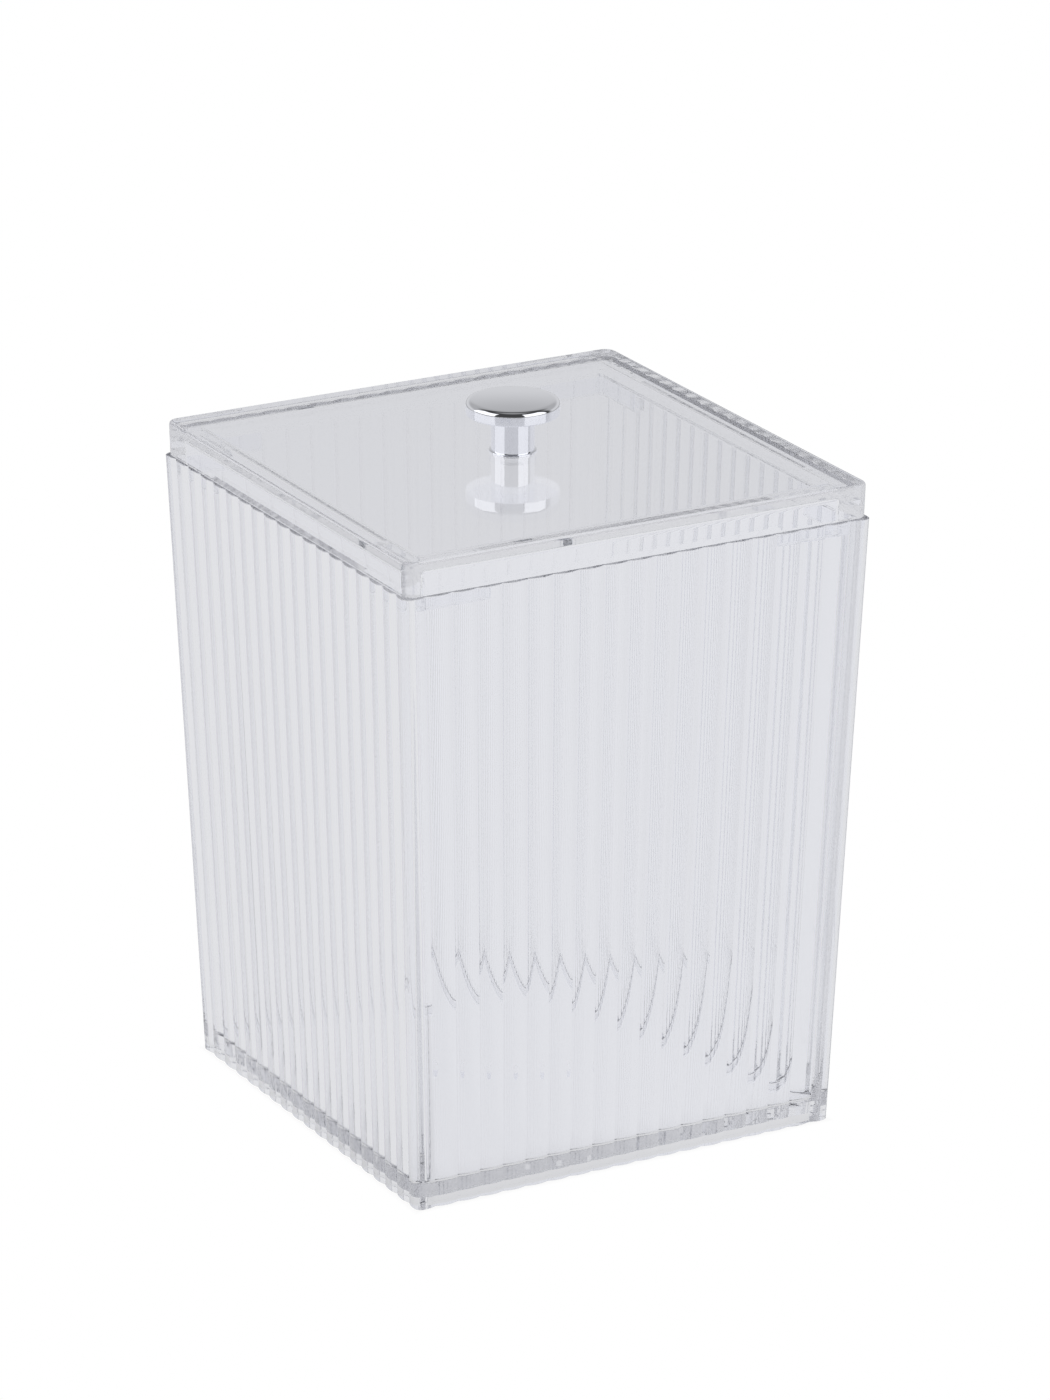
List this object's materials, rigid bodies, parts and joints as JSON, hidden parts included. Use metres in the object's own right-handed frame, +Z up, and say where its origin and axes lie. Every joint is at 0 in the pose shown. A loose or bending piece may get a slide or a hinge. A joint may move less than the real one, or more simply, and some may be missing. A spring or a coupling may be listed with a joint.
{
  "type": "lidded reeded canister",
  "caption": "clear square canister with tapering reeded walls, for make-up, with a lift-off lid and a chromed mushroom knob held by a screw",
  "frame": {"origin": "the middle of the base, on the surface that the canister stands on", "axes": "+Z is up, out through the knob; -Y is the front; +X is to the right as seen from the front"},
  "size_m": [0.101, 0.101, 0.1432],
  "materials": {
    "clear_plastic": "clear colourless moulded styrene, polished on every face",
    "chrome_plate": "bright chrome plating over a turned or moulded core",
    "screw_steel": "bright zinc-plated steel"
  },
  "bodies": {
    "canister": {"canister_body": "clear_plastic"},
    "lid_set": {"lid": "clear_plastic", "lid_knob": "chrome_plate", "knob_screw": "screw_steel"}
  },
  "joints": [
    {"name": "lid_lift", "type": "slide", "parent": "canister", "child": "lid_set", "axis": [0, 0, 1], "range_m": [0, 0.04]}
  ]
}
